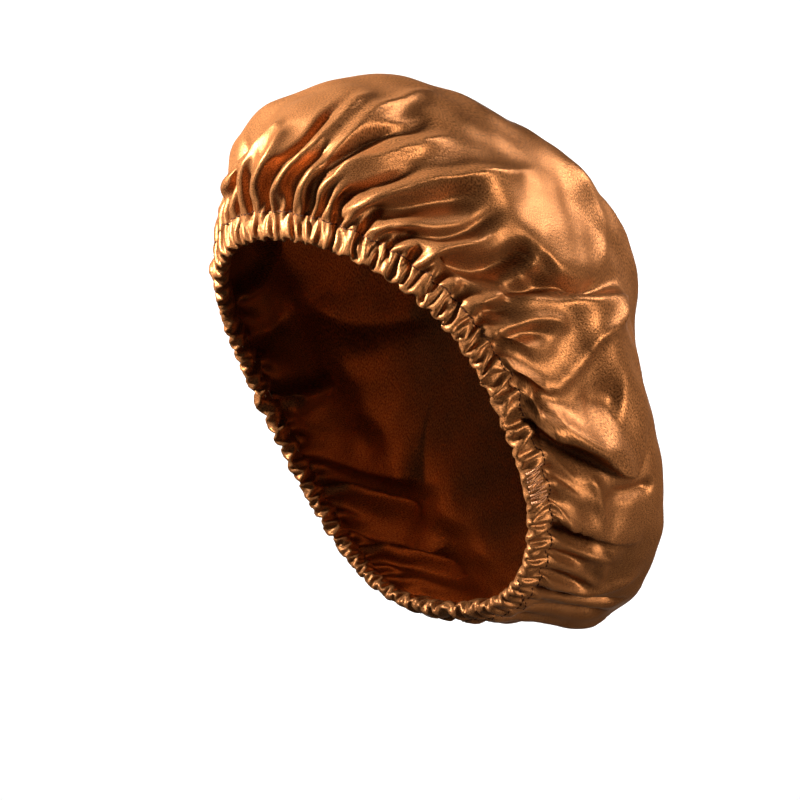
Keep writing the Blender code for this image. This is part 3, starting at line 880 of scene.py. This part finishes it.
def on_cloth(points, columns, rows):
    """Places on the finished cloth at these columns and rows, which may fall between its points."""
    i, j = np.floor(columns).astype(int), np.floor(rows).astype(int)
    w, v = (columns - i)[:, None], (rows - j)[:, None]
    n = len(points)
    low = points[i % n, j] * (1 - w) + points[(i + 1) % n, j] * w
    high = points[i % n, j + 1] * (1 - w) + points[(i + 1) % n, j + 1] * w
    return low * (1 - v) + high * v


def new_material(name):
    material = bpy.data.materials.new(name)
    material.use_nodes = True
    return material, material.node_tree, material.node_tree.nodes["Principled BSDF"]


def charmeuse_satin():
    """Woven polyester charmeuse: long warp floats on the face, so it shines along one direction with a
    bright, warm, soft-edged gloss, while the valleys of its folds stay deep brown."""
    material, tree, shader = new_material("woven_charmeuse_satin")
    uv = add_node(tree, "ShaderNodeUVMap", {"uv_map": "flat_cloth"})
    tangent = add_node(tree, "ShaderNodeTangent", {"direction_type": "UV_MAP", "uv_map": "flat_cloth"})
    # Threads are 0.1 mm apart. They are drawn about 1 mm apart, so that the grain shows.
    slub = add_node(tree, "ShaderNodeMapping", _0=(uv, 0), Scale=(1200, 800, 1))
    threads = add_node(tree, "ShaderNodeTexNoise", _0=(slub, 0), Scale=1.0, Detail=2.0)
    shade = add_node(tree, "ShaderNodeMapRange", _0=(threads, 0), _1=0.3, _2=0.7, _3=0.3, _4=1.75)
    # The dye takes a little darker and lighter, in patches about 17 mm across.
    patches = add_node(tree, "ShaderNodeTexNoise", _0=(uv, 0), Scale=60.0, Detail=3.0)
    dark, light = linear("#7C4B27"), linear("#945F37")
    tone = add_node(tree, "ShaderNodeMixRGB", Fac=(patches, 0), Color1=dark, Color2=light)
    times = {"blend_type": "MULTIPLY"}
    dyed = add_node(tree, "ShaderNodeMixRGB", times, Fac=1.0, Color1=(tone, 0), Color2=(shade, 0))
    gloss = add_node(tree, "ShaderNodeMixRGB", times, Fac=1.0, Color1=linear("#DDB98C"), Color2=(shade, 0))
    bump = add_node(tree, "ShaderNodeBump", Strength=0.35, Distance=0.0004, Height=(threads, 0))
    # The gloss comes through dyed filament and takes its colour, which a part of metal stands for.
    connect(shader, Metallic=0.54, Roughness=0.40, Anisotropic=0.4, Specular_IOR_Level=0.6)
    connect(shader, Base_Color=(dyed, 0), Specular_Tint=(gloss, 0), Tangent=(tangent, 0), Normal=(bump, 0))
    return material


def polyester_thread(name, colour):
    """Twisted polyester sewing thread: a tight strand that turns every 0.4 mm, much duller than the cloth."""
    material, tree, shader = new_material(name)
    place = add_node(tree, "ShaderNodeTexCoord")
    twist = add_node(tree, "ShaderNodeTexWave", {"bands_direction": "DIAGONAL"}, _0=(place, "Object"), Scale=900.0)
    bump = add_node(tree, "ShaderNodeBump", Strength=0.4, Distance=0.0001, Height=(twist, 0))
    connect(shader, Base_Color=linear(colour), Roughness=0.8, Specular_IOR_Level=0.2, Normal=(bump, 0))
    return material


def knitted_elastic():
    """Knitted elastic: dull white polyester over rubber, with ribs 0.8 mm apart along its length."""
    material, tree, shader = new_material("knitted_elastic")
    place = add_node(tree, "ShaderNodeTexCoord")
    up_and_down = {"bands_direction": "Z"}
    ribs = add_node(tree, "ShaderNodeTexWave", up_and_down, _0=(place, "Object"), Scale=390.0, Distortion=1.0)
    # The grooves between the ribs are coloured darker than the ribs: painted shade in the grooves.
    groove_painted_shade, rib = linear("#CFC6B6"), linear("#EEE8DC")
    tone = add_node(tree, "ShaderNodeMixRGB", Fac=(ribs, 1), Color1=groove_painted_shade, Color2=rib)
    bump = add_node(tree, "ShaderNodeBump", Strength=0.5, Distance=0.0002, Height=(ribs, 1))
    connect(shader, Base_Color=(tone, 0), Roughness=0.8, Normal=(bump, 0))
    return material


# ---- stage

def add_stage():
    """A pale floor that curves up into a backdrop."""
    floor_z, near, far, height, radius, half = -1.4, 3.0, 2.6, 4.0, 0.7, 0.75
    profile = [(-near, floor_z)] + [
        (far - radius + radius * math.sin(a), floor_z + radius - radius * math.cos(a))
        for a in np.linspace(0, math.pi / 2, 16)
    ] + [(far, floor_z + height)]
    away = -direction(CAMERA_AZIMUTH, 0)
    side = direction(CAMERA_AZIMUTH + 90, 0)
    vertices = [tuple(away * d + side * s + np.array([0, 0, z])) for d, z in profile for s in (-half, half)]
    faces = [(2 * k, 2 * k + 1, 2 * k + 3, 2 * k + 2) for k in range(len(profile) - 1)]
    mesh = bpy.data.meshes.new("floor")
    mesh.from_pydata(vertices, [], faces)
    mesh.shade_smooth()
    floor = put_in_scene("floor", mesh)
    material, _, shader = new_material("matt_white_paper")
    connect(shader, Base_Color=linear("#EDEDED"), Roughness=0.9)
    mesh.materials.append(material)


def add_light(name, azimuth, elevation, distance, size, power, colour="#FFFFFF", spread=55, aim=AIM, turned=False):
    """A soft box that faces the bonnet, or is turned to the backdrop."""
    lamp = bpy.data.lights.new(name, "AREA")
    lamp.shape = "RECTANGLE"
    lamp.size, lamp.size_y = size
    lamp.energy = power
    lamp.color = linear(colour)[:3]
    # A grid on the front of the box keeps its light together.
    lamp.spread = math.radians(spread)
    box = put_in_scene(name, lamp)
    box.visible_camera = False
    box.location = Vector(aim + distance * direction(azimuth, elevation))
    facing = direction(azimuth, 0) if turned else -direction(azimuth, elevation)
    box.rotation_euler = Vector(facing).to_track_quat("-Z", "Y").to_euler()


def add_lights():
    # The key light is narrow and aimed at the brow, so that the nape stays dark.
    add_light("key_light", -24, 21, 1.9, (0.38, 0.38), 3.3, spread=11, aim=np.array([0.02, -0.01, 0.18]))
    add_light("far_light", 156, 35, 2.0, (0.9, 0.5), 3.7, "#FFF6E8")
    add_light("fill_light", 110, -4, 2.2, (0.6, 0.6), 4.2, "#FFF6E8")
    # It stands behind the bonnet and faces away from it, so that only the backdrop is lit.
    add_light("backdrop_light", CAMERA_AZIMUTH + 180, 0, 1.6, (1.6, 1.6), 14.5, spread=80, turned=True)
    world = bpy.data.worlds.new("studio")
    bpy.context.scene.world = world
    world.use_nodes = True
    connect(world.node_tree.nodes["Background"], Color=linear("#FFFFFF"), Strength=0.06)


# ---- the bonnet

add_camera()
add_stage()
add_lights()
bpy.context.scene.view_settings.view_transform = "Standard"

satin = charmeuse_satin()
cloth, points = gathered_cloth()
crown = cloth_mesh("crown_cloth", cloth, points, cloth.stitch_row, cloth.rows - 1, True)
casing = cloth_mesh("casing_cloth", cloth, points, 0, cloth.stitch_row, False)
for piece, node in ((crown, "crown"), (casing, "casing")):
    piece.data.materials.append(satin)
    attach(piece, "root")
    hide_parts(node)
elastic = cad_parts["elastic"]
elastic.material_slots[0].material = knitted_elastic()

# The stitches are real thread, but the thread of the casing and join stitches is coloured far darker than the
# cloth: painted shade of the pleat valleys that the stitches cross.
thread_darkened_as_shade = polyester_thread("polyester_thread_painted_shade", "#3F1D0B")
pale_thread = polyester_thread("worn_polyester_thread", "#E3A377")
tree = stitch_tree()
out = grid_normals(points)
line = cloth.stitch_row
per_degree = cloth.columns / 360
# The ends of the casing are joined behind the left ear, up and down across the casing.
along_join = np.linspace(0, 1, 60)
join_rows = line * np.interp(along_join, [0, 0.5, 1], [0.55, 0.9, 1.6])
join_columns = per_degree * np.interp(along_join, [0, 0.5, 1], [143.0, 151.5, 158.5])
# The gap through which the elastic went in is closed by hand, in a worn zigzag along the casing.
corners = np.arange(17)
zigzag_rows = line * np.interp(np.linspace(0, 16, 129), corners, np.where(corners % 2, 0.62, 0.92))
zigzag_columns = per_degree * np.linspace(103.5, 113.0, 129)
all_round = np.arange(cloth.columns)
# The thread is 0.25 mm thick. It is drawn about three times as thick, so that the stitches show.
rows_of_stitches = [
    # name, columns and rows of its places on the cloth, closed, thread, spacing, length, thickness
    ("casing_stitches", all_round, 0 * all_round + line, True, thread_darkened_as_shade, 0.0031, 0.0026, 0.00077),
    ("join_stitches", join_columns, join_rows, False, thread_darkened_as_shade, 0.0024, 0.0019, 0.000715),
    ("closing_stitches", zigzag_columns, zigzag_rows, False, pale_thread, 0.0013, 0.0015, 0.00077),
]
for name, columns, rows, closed, thread, spacing, length, thickness in rows_of_stitches:
    places, outwards = (on_cloth(grid, columns, rows) for grid in (points, out))
    row = sewn(name, tree, places, outwards, closed, thread, Spacing=spacing, Length=length, Thickness=thickness)
    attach(row, "root")
